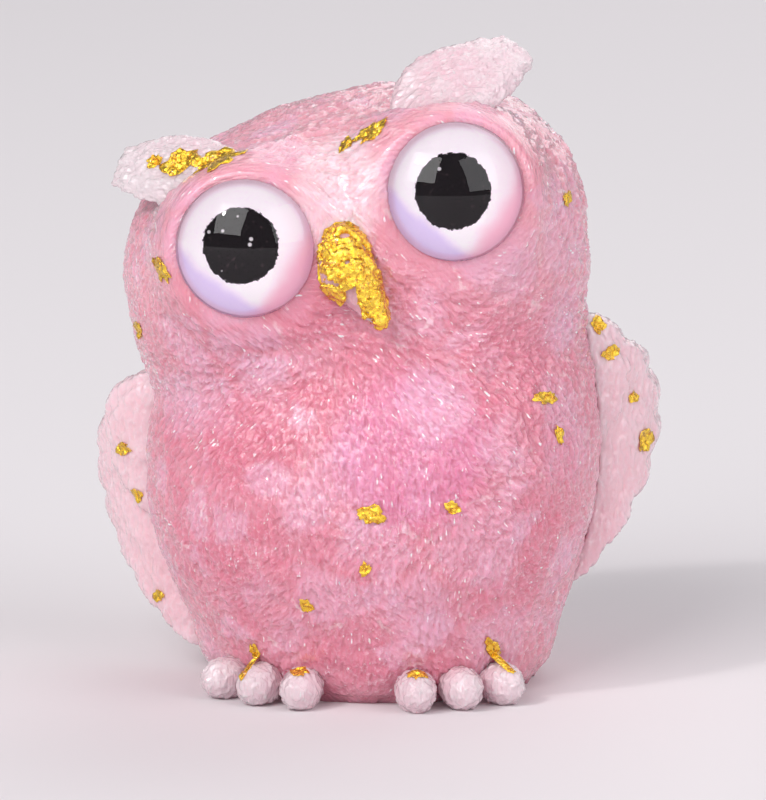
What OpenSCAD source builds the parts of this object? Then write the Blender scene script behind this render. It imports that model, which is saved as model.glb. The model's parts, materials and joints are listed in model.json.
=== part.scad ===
// Owl figurine cast in rose resin over rose-quartz gravel, with glass cabochon eyes and gold foil.
// Millimetres, +Z up, the face looks along -Y. The origin is the centre of the flat base.
// Left is -X and right is +X, as someone who faces the owl sees it.

/* [Body] */
// Height of the body, from the base to the middle of the neck
body_h = 29.3; // [24:0.5:36]
// Width of the body across the belly
body_w = 40.8; // [34:0.5:50]
// Depth of the body, front to back
body_d = 36.4; // [30:0.5:44]
// How far the body leans over, right side up
lean = 6.5; // [0:0.5:9]

/* [Head] */
// Height of the head, from the middle of the neck to the crown
head_h = 23; // [21:0.5:29]
// Width of the head
head_w = 41.4; // [36:0.5:50]
// Depth of the head, front to back
head_d = 34.4; // [29:0.5:42]
// Tilt of the head, right side up
head_tilt = 15; // [0:1:18]
// Turn of the head towards +X
head_turn = 8.5; // [0:0.5:12]
// How far the head is set to the left of the body
head_shift = 2.3; // [0:0.1:4]

/* [Resin] */
// Wall of the outer resin skin
skin_t = 2.4; // [1.8:0.1:3.2]
// Thickness of the last pour, which closes the base
base_t = 3.2; // [2:0.1:5]

/* [Gravel] */
// Mean radius of a quartz chip
chip_r = 2.9; // [2:0.05:3.2]
// Least distance between the middles of two chips
chip_pitch = 6.6; // [6.4:0.1:9]
// Resin left between a chip and the skin
chip_cover = 0.4; // [0.2:0.05:1]

/* [Eyes] */
// Diameter of the glass cabochon
eye_d = 12; // [9:0.5:14]
// Height of the cabochon's straight edge
eye_edge = 0.9; // [0.5:0.1:1.5]
// Height of the cabochon's dome above its edge
eye_dome = 2.9; // [1.5:0.1:4]
// Distance between the middles of the eyes
eye_gap = 18.4; // [17:0.2:22]
// Height of the eyes above the middle of the head
eye_up = 3.8; // [2:0.1:6]
// Outward turn of each eye
eye_splay = 10; // [0:1:14]
// Depth of the socket below the face
socket_depth = 1.2; // [0.8:0.1:1.4]
// Radial clearance between the cabochon and its socket
socket_gap = 0.1; // [0.05:0.05:0.3]
// Width of the resin rim round a socket
rim_w = 0.9; // [0.6:0.1:1.6]
// Diameter of the coloured iris disc
iris_d = 11; // [8:0.2:12]
// Thickness of the iris disc
iris_t = 0.5; // [0.4:0.1:1]
// Diameter of the black pupil
pupil_d = 5.6; // [4:0.2:7]
// Thickness of the pupil's paint
pupil_t = 0.2; // [0.1:0.05:0.3]
// Thickness of the glue under the iris
glue_t = 0.15; // [0.1:0.05:0.3]

/* [Beak and ears] */
// Length of the beak
beak_l = 9.4; // [7:0.2:12]
// Width of the beak
beak_w = 5.2; // [4:0.2:7]
// Width of an ear tuft at its widest
ear_w = 7; // [5:0.2:9]
// How far the right ear tuft's shoulder stands above an even leaf
ear_shoulder = 1.8; // [0:0.1:2.4]
// Reach of an ear tuft from the middle of the head
ear_reach = 18.2; // [16:0.2:22]
// Height of an ear tuft's tip above the middle of the head
ear_rise = 13.6; // [12:0.2:17]

/* [Wings, tail and toes] */
// Height of each wing
wing_h = 26; // [20:0.5:30]
// How far the left wing stands out beyond the side of the body
left_wing_out = 2.8; // [2:0.2:5]
// How far the right wing stands out beyond the side of the body
right_wing_out = 5; // [2:0.2:6]
// Thickness of the long feathers
wing_t = 1.8; // [1.2:0.1:2.4]
// Height of the left wing's lower end
left_wing_low = 5; // [3:0.2:8]
// Height of the right wing's lower end
right_wing_low = 7.4; // [3:0.2:9]
// Radius to which a wing is cupped
wing_cup = 14.2; // [12:0.2:18]
// Outward splay of the wings at the top
wing_splay = 4.5; // [0:0.5:8]
// Height of the tail's root above the base
tail_h = 13; // [9:0.5:16]
// How far the tail stands out behind the body
tail_reach = 1.8; // [1:0.1:4]
// Half width of a toe
toe_r = 1.75; // [1.4:0.05:1.9]
// Angle round the base from the middle of the front to the middle of each foot
foot_angle = 31; // [26:1:40]
// Angle round the base between neighbouring toes
toe_angle = 14; // [14:0.5:18]

/* [Foil] */
// Thickness of the gold foil where it stands proud
foil_t = 0.2; // [0.1:0.05:0.4]

/* [Hidden] */

FORM_POINTS = 38;       // points round a section of the owl's outside
FORM_STEP = 2.1;        // height between two of its sections
CAVITY_POINTS = 28;     // the same for the inside of the skin
CAVITY_STEP = 3;
CUT = 1;                // how far a cutting solid runs past what it cuts
SEED = 7;               // start of every random shape
FINE = 64;              // $fn of round pieces
ROUNDED = 16;           // $fn of the balls that a hull is drawn over

rose = [0.93, 0.62, 0.70];
deep_rose = [0.86, 0.45, 0.58];
quartz = [0.96, 0.78, 0.84];
clear = [0.97, 0.86, 0.89];
gold = [0.93, 0.70, 0.16];
pearl = [0.93, 0.86, 0.97];
black = [0.05, 0.03, 0.04];
glass = [0.95, 0.95, 1, 0.4];

/* ---- the owl's form: a stack of sections along a leaning spine ---- */

NECK_EASE = 1.2;        // the neck tilts this much less than halfway from the body to the head
FOOT_LEFT = 0.4;        // how far the foot of the body lies to the left
SWAY = 0.6;             // how much further its top does
SWAY_POWER = 3;
SAG = 1.2;              // how far the belly sags forwards
SAG_TURN = 150;
FOOT_BACK = 0.5;        // how far the foot lies back
LEAN_POWER = 1.6;       // how late the lean sets in
NECK_FRONT = 0.1;
neck_tilt = (lean + head_tilt) / 2 - NECK_EASE;
neck_left = FOOT_LEFT + SWAY;
MID = 0.425;            // the head is widest at this share of its height
head_mid = [-head_shift, 0, body_h + MID * head_h];
form_top = body_h + 0.99 * head_h;
CROWN_BULGE = 0.3;      // rise of the crown above the last section
RIM_UP = 0.6;           // height of an eye's rim above the floor of its socket
RIM_ROOT = 0.9;         // depth to which the rim is rooted in the skin

// [share of body_h, share of half body_w, share of half body_d]
BODY = [
    [0, 0.716, 0.714], [0.05, 0.765, 0.785], [0.14, 0.795, 0.835], [0.27, 0.845, 0.90],
    [0.44, 0.94, 0.967], [0.63, 0.995, 1], [0.82, 0.99, 0.978], [1, 0.95, 0.912]
];
// [share of head_h, share of half head_w, share of half head_d]
HEAD = [
    [0.18, 0.976, 0.972], [MID, 1, 1], [0.59, 0.976, 0.988], [0.76, 0.872, 0.895],
    [0.88, 0.71, 0.715], [0.955, 0.49, 0.48], [0.99, 0.24, 0.235]
];
ROUND = 2.1;            // exponent of the body's sections: 2 is an ellipse, more is squarer
SQUARE = 2.7;           // exponent of the head's sections

// [height, x, y, tilt, turn, half width, half depth, exponent] of each section
FORM = concat(
    [for (r = BODY) [
        r[0] * body_h, -FOOT_LEFT - SWAY * pow(r[0], SWAY_POWER), FOOT_BACK - SAG * sin(SAG_TURN * r[0]),
        neck_tilt * pow(r[0], LEAN_POWER), 0, r[1] * body_w / 2, r[2] * body_d / 2, ROUND
    ]],
    [for (r = HEAD) let (above = max(r[0] - MID, 0) * head_h, settled = min(r[0] / MID, 1)) [
        body_h + r[0] * head_h,
        -neck_left - (head_shift - neck_left) * settled - above * tan(head_tilt),
        -NECK_FRONT * (1 - settled), neck_tilt + (head_tilt - neck_tilt) * settled, head_turn * settled,
        r[1] * head_w / 2, r[2] * head_d / 2, ROUND + (SQUARE - ROUND) * settled
    ]]
);

function row_below(h, i = 0) = i >= len(FORM) - 2 || h < FORM[i + 1][0] ? i : row_below(h, i + 1);

function slope(i) =
    let (a = max(i - 1, 0), b = min(i + 1, len(FORM) - 1))
    (FORM[b] - FORM[a]) / (FORM[b][0] - FORM[a][0]);

// The section at height h, smooth through the rows of FORM
function section(h) =
    let (i = row_below(h), d = FORM[i + 1][0] - FORM[i][0], f = (h - FORM[i][0]) / d)
    FORM[i] * (2 * pow(f, 3) - 3 * f * f + 1) + slope(i) * d * (pow(f, 3) - 2 * f * f + f)
    + FORM[i + 1] * (3 * f * f - 2 * pow(f, 3)) + slope(i + 1) * d * (pow(f, 3) - f * f);

function tipped(p, tilt) =
    [p.x * cos(tilt) - p.z * sin(tilt), p.y, p.x * sin(tilt) + p.z * cos(tilt)];

// The point of section h along angle a, share of the way out to the surface
function form_point(h, a, share = 1) =
    let (
        s = section(h),
        k = share / pow(pow(abs(cos(a)), s[7]) + pow(abs(sin(a)), s[7]), 1 / s[7]),
        x = s[5] * k * cos(a),
        y = s[6] * k * sin(a),
        flat = [x * cos(s[4]) - y * sin(s[4]), x * sin(s[4]) + y * cos(s[4]), 0]
    )
    tipped(flat, s[3]) + [s[1], s[2], s[0]];

function form_normal(h, a) =
    let (
        across = form_point(h, a + 2) - form_point(h, a - 2),
        up = form_point(min(h + 0.3, form_top), a) - form_point(max(h - 0.3, 0), a),
        n = cross(across, up)
    )
    n / norm(n);

function ring(h, inset, count) =
    [for (i = [0 : count - 1]) let (a = 360 * i / count) form_point(h, a) - inset * form_normal(h, a)];

// The form between two heights, drawn in by inset. The lowest section of all is level, and a cutting
// solid runs on down to depth below it.
module owl_form(from = 0, to = form_top, inset = 0, count = FORM_POINTS, step = FORM_STEP, depth = 0) {
    rows = ceil(form_top / step);
    row_h = form_top / rows;
    first = floor(from / row_h);
    end = min(ceil(to / row_h), rows);
    level = [for (p = ring(0, inset, count)) [p.x, p.y, 0]];
    below = [for (p = level) p - [0, 0, depth]];
    upper = [for (k = [max(first, 1) : end]) ring(row_h * k, inset, count)];
    rings = concat(depth > 0 ? [below] : [], first == 0 ? [level] : [], upper);
    last = len(rings) - 1;
    bulge = end == rows ? CROWN_BULGE - inset : 0;
    apex = form_point(row_h * end, 0, 0) + tipped([0, 0, bulge], head_tilt);
    sides = [for (k = [0 : last - 1], i = [0 : count - 1])
        let (j = (i + 1) % count, a = k * count)
        each [[a + i, a + count + i, a + j], [a + j, a + count + i, a + count + j]]];
    foot_face = [[for (i = [0 : count - 1]) i]];
    top_faces = [for (i = [0 : count - 1])
        [last * count + i, (last + 1) * count, last * count + (i + 1) % count]];
    polyhedron(concat([for (r = rings) each r], [apex]), concat(sides, foot_face, top_faces));
}

module cavity() {
    owl_form(inset = skin_t, count = CAVITY_POINTS, step = CAVITY_STEP, depth = CUT);
}

// The form between two heights, with the rims round its eye sockets
module outside(from = 0, to = form_top) {
    owl_form(from, to);
    for (side = [-1, 1]) at_eye(side) translate([0, 0, -RIM_ROOT])
        cylinder(d = eye_d + 2 * (socket_gap + rim_w), h = RIM_ROOT + RIM_UP, $fn = FINE);
}

module slab(from, to) {
    size = 3 * body_w;
    translate([-size / 2, -size / 2, from]) cube([size, size, to - from]);
}

/* ---- frames that other pieces are set out in ---- */

module at_head() {
    translate(head_mid) rotate([0, -head_tilt, 0]) rotate([0, 0, head_turn]) children();
}

// Depth of the face at distance x from its middle, in the head's own frame
function face_y(x) = head_d / 2 * pow(1 - pow(abs(x) / (head_w / 2), SQUARE), 1 / SQUARE);

// The middle of a socket's floor, with +Z along the way the eye looks
module at_eye(side) {
    at_head()
        translate([side * eye_gap / 2, socket_depth - face_y(eye_gap / 2), eye_up])
            rotate([90, 0, side * eye_splay]) children();
}

// Lays children on the form at height h and angle a, with +Z outwards
module on_form(h, a, turn = 0) {
    n = form_normal(h, a);
    translate(form_point(h, a)) rotate([0, acos(n.z), atan2(n.y, n.x)]) rotate([0, 0, turn]) children();
}

/* ---- resin ---- */

module owl_skin() {
    color(rose) difference() {
        outside();
        cavity();
        for (side = [-1, 1]) at_eye(side)
            cylinder(d = eye_d + 2 * socket_gap, h = eye_edge + eye_dome + CUT, $fn = FINE);
        for (side = [-1, 1], place = [0 : 2]) toe_bead(side, place);
        flakes_on_form(FACE_FLAKES);
        flakes_on_form(BELLY_FLAKES);
        ear_flakes();
    }
}

module base_plug() {
    color(clear) intersection() {
        cavity();
        slab(0, base_t);
    }
}

// The gravel lies in layers, each where one pour of resin meets the next
POURS = 5;
pour_top = form_top + CUT;
pour_h = (body_h + 0.76 * head_h - base_t) / POURS;
function pour_level(i) = i == POURS ? pour_top : base_t + i * pour_h;

module fill(i) {
    color(deep_rose) difference() {
        intersection() {
            cavity();
            slab(pour_level(i), pour_level(i + 1));
        }
        if (i > 0) gravel(i);
        if (i < POURS - 1) gravel(i + 1);
    }
}

/* ---- gravel ---- */

// Shares of the way out at which the chips of layer h lie, from the skin inwards
function chip_rows(h) =
    let (s = section(h), reach = min(s[5], s[6]), outer = reach - skin_t - chip_cover - 1.1 * chip_r)
    [for (r = [outer : -chip_pitch : 0]) r / reach];

function chip_spots(h) =
    let (s = section(h), reach = min(s[5], s[6]))
    [for (share = chip_rows(h))
        let (
            count = max(floor(2 * PI * share * reach / chip_pitch), 1),
            first = rands(0, 360, 1, h + share)[0]
        )
        for (i = [0 : count - 1])
            let (p = form_point(h, first + 360 * i / count, share)) [p.x, p.y, h]];

GOLDEN = (1 + sqrt(5)) / 2;
CORNERS = [for (p = [-1, 1], q = [-GOLDEN, GOLDEN], turn = [0 : 2])
    let (v = turn == 0 ? [0, p, q] : turn == 1 ? [p, q, 0] : [q, 0, p]) v / norm(v)];

function joined(i, j) = norm(CORNERS[i] - CORNERS[j]) < 1.1;

// Triangles of neighbouring corners, each turned to face outwards
CHIP_FACES = [for (i = [0 : 9], j = [i + 1 : 10], k = [j + 1 : 11])
    if (joined(i, j) && joined(j, k) && joined(i, k))
        cross(CORNERS[j] - CORNERS[i], CORNERS[k] - CORNERS[i]) * CORNERS[i] > 0 ? [i, k, j] : [i, j, k]];

// A broken chip of stone: an icosahedron with uneven corners, turned at random
module chip(seed) {
    size = rands(0.8, 1.04, 12, seed);
    squash = rands(0.8, 1, 3, seed + 100);
    turn = rands(0, 360, 3, seed + 200);
    corners = [for (i = [0 : 11]) chip_r * size[i] * [for (q = [0 : 2]) CORNERS[i][q] * squash[q]]];
    rotate(turn) polyhedron(corners, CHIP_FACES);
}

module gravel(layer) {
    spots = chip_spots(pour_level(layer));
    for (i = [0 : len(spots) - 1]) translate(spots[i]) chip(SEED + 50 * layer + i);
}

module chips(layer) {
    color(quartz) gravel(layer);
}

/* ---- ear tufts ---- */

EAR_RINGS = 12;
EAR_POINTS = 24;
EAR_STRANDS = 7;
LEFT_EAR_LOW = 0.9;
EAR_ROOT = [5.8, 0.385, 8.4];   // across, share of head_d to the front, and up
EAR_TIP_FRONT = 0.18;   // share of head_d
EAR_SHOULDER_BEND = 0.7;   // less brings the shoulder nearer the root
ear_root = [EAR_ROOT.x, -head_d * EAR_ROOT.y, EAR_ROOT.z];
ear_tip = [ear_reach, -head_d * EAR_TIP_FRONT, ear_rise];
ear_along = (ear_tip - ear_root) / norm(ear_tip - ear_root);
ear_out = [0.1, -0.78, 0.62];
ear_down = cross(ear_along, ear_out) / norm(cross(ear_along, ear_out));
ear_face = cross(ear_down, ear_along);

// Middle of a tuft, t of the way from its root to its tip
function ear_middle(t) = ear_root + (ear_tip - ear_root) * t + 1.1 * sin(180 * t) * ear_face;
function ear_half(t) = ear_w / 2 * (0.3 + 0.7 * pow(sin(8 + 154 * pow(t, 1.1)), 0.9));
function ear_thick(t) = 1.9 - 1.2 * t;

// How far the shoulder of a tuft stands out above, t of the way along
function ear_rise_above(t, shoulder) = shoulder * pow(sin(180 * pow(t, EAR_SHOULDER_BEND)), 2);

function ear_ring(t, shoulder) = [for (i = [0 : EAR_POINTS - 1])
    let (a = 360 * i / EAR_POINTS, flute = 1 + 0.16 * cos(EAR_STRANDS * a))
    let (half = ear_half(t) + (cos(a) < 0 ? ear_rise_above(t, shoulder) : 0))
    ear_middle(t) + half * cos(a) * ear_down + ear_thick(t) * flute * sin(a) * ear_face];

// The left tuft lies a little lower on the head than the right one
module at_ear(side) {
    at_head() translate([0, 0, side < 0 ? -LEFT_EAR_LOW : 0]) mirror([side < 0 ? 1 : 0, 0, 0]) children();
}

module ear_leaf(side) {
    points = [for (k = [0 : EAR_RINGS]) each ear_ring(k / EAR_RINGS, side > 0 ? ear_shoulder : 0)];
    n = EAR_POINTS;
    sides = [for (k = [0 : EAR_RINGS - 1], i = [0 : n - 1])
        let (j = (i + 1) % n, a = k * n) each [[a + i, a + n + i, a + j], [a + j, a + n + i, a + n + j]]];
    ends = [[for (i = [0 : n - 1]) i], [for (i = [n - 1 : -1 : 0]) EAR_RINGS * n + i]];
    at_ear(side) polyhedron(points, concat(sides, ends));
}

module ear_tuft(side) {
    color(clear) difference() {
        ear_leaf(side);
        owl_form(from = head_mid.z);
        if (side < 0) ear_flakes();
    }
}

/* ---- beak ---- */

BEAK_TOP = 0.36;        // radius of the beak's top for its width
BEAK_WIDEST = 0.42;     // share of its length at which it is widest
BEAK_TIP = 0.6;         // radius of its tip
BEAK_HOOK = 1.6;        // how far the tip stands forwards
BEAK_BENT = [-1.2, -1.4, 0.2];  // places across the face of its top, its widest part and its tip

module beak_ball(across, forwards, down, radius) {
    translate([across, -forwards, -down]) sphere(r = radius, $fn = ROUNDED);
}

module beak_solid(grow = 0) {
    top_r = beak_w * BEAK_TOP;
    at_head() translate([0, -head_d / 2, eye_up]) hull() {
        beak_ball(BEAK_BENT[0], -0.4, top_r, top_r + grow);
        beak_ball(BEAK_BENT[1], -0.1, BEAK_WIDEST * beak_l, beak_w / 2 + grow);
        beak_ball(BEAK_BENT[2], BEAK_HOOK, beak_l - BEAK_TIP, BEAK_TIP + grow);
    }
}

module beak() {
    color(clear) difference() {
        beak_solid();
        outside(body_h, head_mid.z + head_h / 2);
    }
}

/* ---- wings ---- */

FEATHERS = 7;
WING_DEPTH = 7.4;       // how deep a wing's inner edge lies inside the side of the body
WING_ROUND = 0.8;       // how far the circle it is cupped round runs past its reach
WING_FRONT = 1.8;       // how far the wing comes forwards of the middle
COVERT_SHORT = 2.2;     // how much less the short feathers reach than the long ones
COVERT_END = 0.42;      // share of wing_h at which they end
wing_root = body_w / 2 - WING_DEPTH;
COVERT_STEP = 0.6;      // how far the short feathers stand over the long ones
SCALLOP = 0.6;          // depth of the notches between feather tips
function wing_low(side) = side < 0 ? left_wing_low : right_wing_low;
function wing_reach(side) = body_w / 2 + (side < 0 ? left_wing_out : right_wing_out);

// Middle of the circle that a wing is cupped round
function wing_mid(side) = [wing_reach(side) - wing_cup + WING_ROUND, wing_cup - WING_FRONT];

// The scalloped outer edge of a wing, from high to low
function wing_edge(reach, high, low) = [for (i = [0 : 6 * FEATHERS])
    let (
        t = i / (6 * FEATHERS),
        bulge = (reach - wing_root - SCALLOP) * pow(sin(4 + 174 * pow(t, 0.8)), 0.5),
        notch = SCALLOP * abs(sin(180 * FEATHERS * t))
    )
    [wing_root + bulge + notch, high + (low - high) * t]];

module wing_layer(side, reach, high, low) {
    middle = wing_mid(side);
    intersection() {
        translate([0, middle.y, 0]) rotate([90, 0, 0]) linear_extrude(middle.y + wing_cup)
            polygon(concat([[wing_root, low], [wing_root, high]], wing_edge(reach, high, low)));
        translate([middle.x, middle.y, low - CUT]) difference() {
            cylinder(r = wing_cup, h = high - low + 2 * CUT, $fn = FINE);
            translate([0, 0, -CUT]) cylinder(r = wing_cup - wing_t, h = high - low + 4 * CUT, $fn = FINE);
        }
    }
}

module at_wing(side) {
    rotate([0, -lean, 0]) mirror([side < 0 ? 1 : 0, 0, 0]) rotate([0, wing_splay, 0])
        translate([0, 0, wing_low(side)]) children();
}

module wing(side) {
    color(clear) difference() {
        at_wing(side) {
            wing_layer(side, wing_reach(side), wing_h, 0);
            translate([0, -COVERT_STEP, 0])
                wing_layer(side, wing_reach(side) - COVERT_SHORT, wing_h - CUT, wing_h * COVERT_END);
        }
        owl_form(to = body_h + head_h / 2);
        wing_flakes(side);
    }
}

/* ---- tail ---- */

TAIL_FEATHERS = 3;
// [spread, depth below the tail's reach, how much more at the sides, share of tail_h, radius]
TAIL_BALLS = [[3.4, 3.4, 0.6, 1, 1.9], [5, 2.2, 1.2, 0.5, 2.3], [6.6, 1.1, 2, 0.085, 1.1]];

// A ball of the feather that lies at f, -1 to 1, across the tail
module tail_ball(f, out, row) {
    translate([f * row[0], out - row[1] - row[2] * f * f, tail_h * row[3]])
        sphere(r = row[4], $fn = ROUNDED);
}

module tail() {
    out = body_d / 2 + tail_reach;
    color(clear) difference() {
        for (i = [0 : TAIL_FEATHERS - 1]) {
            f = 2 * i / (TAIL_FEATHERS - 1) - 1;
            for (k = [0, 1]) hull() {
                tail_ball(f, out, TAIL_BALLS[k]);
                tail_ball(f, out, TAIL_BALLS[k + 1]);
            }
        }
        owl_form(to = tail_h + 8);
    }
}

/* ---- toes ---- */

TOE_LENGTH = 1.4;       // length and height of a toe for its width
TOE_HEIGHT = 1.08;

// Sets children at a toe with +Y outwards. Side is -1 or 1, and place is 0 for the inner toe to 2.
module at_toe(side, place) {
    a = side * (foot_angle + (place - 1) * toe_angle) - 90;
    p = form_point(toe_r, a);
    translate([p.x, p.y, 0]) rotate([0, 0, a - 90]) translate([0, 0.75 * toe_r, toe_r]) children();
}

module toe_bead(side, place) {
    at_toe(side, place) scale([1, TOE_LENGTH, TOE_HEIGHT]) sphere(r = toe_r, $fn = FINE);
}

module toe(side, place) {
    color(clear) difference() {
        toe_bead(side, place);
        slab(-CUT - toe_r, 0);
        if (place == 0) toe_flake(side);
    }
}

/* ---- eyes ---- */

module eye_glue(side) {
    color(clear) at_eye(side) cylinder(d = iris_d - 2 * GLUE_EDGE, h = glue_t, $fn = FINE);
}

LEFT_PUPIL = [-0.2, 0.3];       // place of each pupil across and up its eye
RIGHT_PUPIL = [-0.25, 0.1];
GLUE_EDGE = 0.3;        // how far the glue stays inside the edge of the iris

module at_pupil(side) {
    place = side < 0 ? LEFT_PUPIL : RIGHT_PUPIL;
    at_eye(side) translate([place.x, place.y, glue_t + iris_t - pupil_t]) children();
}

module iris(side) {
    color(pearl) difference() {
        at_eye(side) translate([0, 0, glue_t]) cylinder(d = iris_d, h = iris_t, $fn = FINE);
        at_pupil(side) cylinder(d = pupil_d, h = pupil_t + CUT, $fn = FINE);
    }
}

module pupil(side) {
    color(black) at_pupil(side) cylinder(d = pupil_d, h = pupil_t, $fn = FINE);
}

module eye_dome(side) {
    ball = (pow(eye_d / 2, 2) + pow(eye_dome, 2)) / (2 * eye_dome);
    color(glass) at_eye(side) translate([0, 0, glue_t + iris_t]) intersection() {
        cylinder(d = eye_d, h = eye_edge + eye_dome + CUT, $fn = FINE);
        translate([0, 0, eye_edge + eye_dome - ball]) sphere(r = ball, $fn = FINE);
    }
}

/* ---- gold foil ---- */

FLAKE_CORNERS = 7;

// A torn flake that is long by wide, half sunk in the surface it lies on
module flake(long, wide, seed) {
    torn = rands(0.62, 1, FLAKE_CORNERS, seed);
    translate([0, 0, -foil_t]) linear_extrude(2 * foil_t)
        polygon([for (i = [0 : FLAKE_CORNERS - 1]) let (a = 360 * i / FLAKE_CORNERS)
            torn[i] / 2 * [long * cos(a), wide * sin(a)]]);
}

// [height, angle, length, width, turn] of each flake on the form
BELLY_FLAKES = [
    [17.9, -85, 3, 1.5, 80], [17.9, -65, 1.6, 1.3, 70], [13.2, -87, 1.4, 1.1, 0], [9.8, -104, 1.6, 1.2, 40],
    [25.2, -36, 2.4, 1.5, 80], [22.1, -32, 1.6, 1.1, 20], [4.5, -124, 2, 1.3, 10], [4.8, -46, 3, 1.6, 40],
    [12, 60, 1.8, 1.4, 20], [21, 110, 1.6, 1.2, 0], [7, 130, 1.5, 1.2, 30]
];
// The same on the head, with the height as a share of head_h above the neck
HEAD_FLAKES = [
    [0.83, -77.5, 2.4, 3, 20], [0.84, -85, 2, 1.5, 0], [0.57, -136, 3.2, 2.2, 60],
    [0.34, -160, 2.4, 1.7, 90], [0.43, -32, 2.2, 1.5, 90], [0.68, 90, 2.2, 1.5, 0], [0.29, 120, 1.8, 1.3, 10]
];
FACE_FLAKES = [for (r = HEAD_FLAKES) [body_h + r[0] * head_h, r[1], r[2], r[3], r[4]]];

module flakes_on_form(rows) {
    for (i = [0 : len(rows) - 1]) {
        r = rows[i];
        on_form(r[0], r[1], r[4]) flake(r[2], r[3], SEED + 9 * i);
    }
}

module belly_foil() {
    color(gold) flakes_on_form(BELLY_FLAKES);
}

module face_foil() {
    color(gold) flakes_on_form(FACE_FLAKES);
}

module beak_foil() {
    color(gold) difference() {
        beak_solid(foil_t);
        beak_solid();
        outside(body_h, head_mid.z + head_h / 2);
    }
}

// [place along the left ear tuft, length, width, distance above its middle] of each flake on it
EAR_FLAKES = [[0.31, 5.4, 3.6, 0.6], [0.57, 3.6, 2.8, 0.3], [0.73, 1.8, 1.4, 0]];

module ear_flakes() {
    for (i = [0 : len(EAR_FLAKES) - 1]) {
        r = EAR_FLAKES[i];
        at_ear(-1) translate(ear_middle(r[0]) + ear_thick(r[0]) * ear_face - r[3] * ear_down)
            rotate([0, acos(ear_face.z), atan2(ear_face.y, ear_face.x)])
                rotate([0, 0, 90]) flake(r[1], r[2], SEED + i);
    }
}

module ear_foil() {
    color(gold) ear_flakes();
}

// [distance in from the wing's reach, height above its lower end, length, width] of each flake on a wing,
// and 1 where it lies on the short feathers
LEFT_WING_FLAKES = [[3.9, 19.2, 2.2, 1.3, 1], [4.4, 14.9, 1.8, 1.2, 1], [4.4, 5.4, 1.5, 1.1, 0]];
RIGHT_WING_FLAKES = [
    [5, 24, 1.4, 1.9, 0], [3.9, 21.4, 2.2, 1.4, 1], [2.2, 17, 1.4, 1.1, 0], [1.2, 12.8, 2.8, 2.2, 0]
];

module wing_flakes(side) {
    rows = side < 0 ? LEFT_WING_FLAKES : RIGHT_WING_FLAKES;
    middle = wing_mid(side);
    for (i = [0 : len(rows) - 1]) {
        r = rows[i];
        round = -acos((wing_reach(side) - r[0] - middle.x) / wing_cup);
        at_wing(side) translate([middle.x, middle.y - r[4] * COVERT_STEP, r[1]]) rotate([0, 0, round])
            translate([wing_cup, 0, 0]) rotate([0, 90, 0]) flake(r[3], r[2], SEED + 3 * i);
    }
}

module wing_foil(side) {
    color(gold) wing_flakes(side);
}

// A scrap of foil on top of a foot's inner toe
module toe_flake(side) {
    at_toe(side, 0) translate([0, 0.35 * TOE_LENGTH * toe_r, 0.93 * TOE_HEIGHT * toe_r])
        rotate([-18, 0, 0]) flake(1.1 * toe_r, 0.9 * toe_r, SEED);
}

module toe_foil() {
    color(gold) for (side = [-1, 1]) toe_flake(side);
}

owl_skin();
base_plug();
fill(0);  // belly_fill
fill(1);  // chest_fill
fill(2);  // neck_fill
fill(3);  // face_fill
fill(4);  // crown_fill
chips(1);  // belly_chips
chips(2);  // chest_chips
chips(3);  // neck_chips
chips(4);  // face_chips
ear_tuft(-1);  // left_ear_tuft
ear_tuft(1);  // right_ear_tuft
beak();
wing(-1);  // left_wing
wing(1);  // right_wing
tail();
toe(-1, 2);  // left_outer_toe
toe(-1, 1);  // left_middle_toe
toe(-1, 0);  // left_inner_toe
toe(1, 0);  // right_inner_toe
toe(1, 1);  // right_middle_toe
toe(1, 2);  // right_outer_toe
eye_glue(-1);  // left_eye_glue
eye_glue(1);  // right_eye_glue
iris(-1);  // left_iris
iris(1);  // right_iris
pupil(-1);  // left_pupil
pupil(1);  // right_pupil
eye_dome(-1);  // left_eye_dome
eye_dome(1);  // right_eye_dome
beak_foil();
ear_foil();
face_foil();
belly_foil();
wing_foil(-1);  // left_wing_foil
wing_foil(1);  // right_wing_foil
toe_foil();
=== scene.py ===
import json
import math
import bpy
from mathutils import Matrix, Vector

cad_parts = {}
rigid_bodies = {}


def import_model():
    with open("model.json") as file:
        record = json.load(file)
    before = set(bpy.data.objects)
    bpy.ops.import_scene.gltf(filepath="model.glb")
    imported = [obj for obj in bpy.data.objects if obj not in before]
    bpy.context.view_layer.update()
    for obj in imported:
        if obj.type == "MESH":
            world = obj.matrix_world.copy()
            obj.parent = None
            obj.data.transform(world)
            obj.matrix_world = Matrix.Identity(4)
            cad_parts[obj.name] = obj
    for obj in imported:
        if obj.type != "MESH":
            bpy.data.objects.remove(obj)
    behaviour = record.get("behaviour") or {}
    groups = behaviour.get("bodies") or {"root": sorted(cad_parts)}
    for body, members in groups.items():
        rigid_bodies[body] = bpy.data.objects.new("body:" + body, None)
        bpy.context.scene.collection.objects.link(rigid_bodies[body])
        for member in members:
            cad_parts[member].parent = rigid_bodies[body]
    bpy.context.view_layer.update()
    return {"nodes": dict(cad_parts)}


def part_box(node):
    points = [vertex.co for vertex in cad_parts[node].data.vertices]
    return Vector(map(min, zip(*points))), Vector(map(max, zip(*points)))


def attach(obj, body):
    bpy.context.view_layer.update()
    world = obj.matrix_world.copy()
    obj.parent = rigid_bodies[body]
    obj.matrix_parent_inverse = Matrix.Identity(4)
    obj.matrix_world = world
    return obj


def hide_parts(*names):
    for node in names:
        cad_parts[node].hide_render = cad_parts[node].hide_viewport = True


bl_info = {
    "name": "Rose Resin Owl",
    "version": (1, 0, 0),
    "blender": (4, 5, 0),
    "location": "3D View > Sidebar > Owl",
    "description": "Builds a small owl of rose resin, quartz chips, glass eyes and gold foil on its CAD frame",
    "category": "Object",
}

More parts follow.
